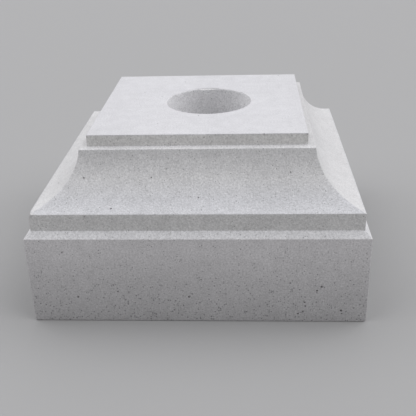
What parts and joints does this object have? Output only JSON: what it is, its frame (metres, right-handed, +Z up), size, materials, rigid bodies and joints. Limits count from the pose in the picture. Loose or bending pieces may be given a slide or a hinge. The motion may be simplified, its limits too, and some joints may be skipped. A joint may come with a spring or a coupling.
{
  "type": "cast stone plinth",
  "caption": "Square cast stone plinth: plain block with chamfered shoulder, fillet, hollow scotia and thin top slab, with a round hole through it for a fixing or a pipe.",
  "frame": {"origin": "on the ground, below the middle of the square block", "axes": "+Z up, from the underside to the top slab; X and Y along the sides of the square, with the front towards -Y"},
  "size_m": [0.45, 0.45, 0.241],
  "materials": {
    "cast_stone": "matte"
  },
  "bodies": {
    "root": {"plinth": "cast_stone"}
  },
  "joints": []
}
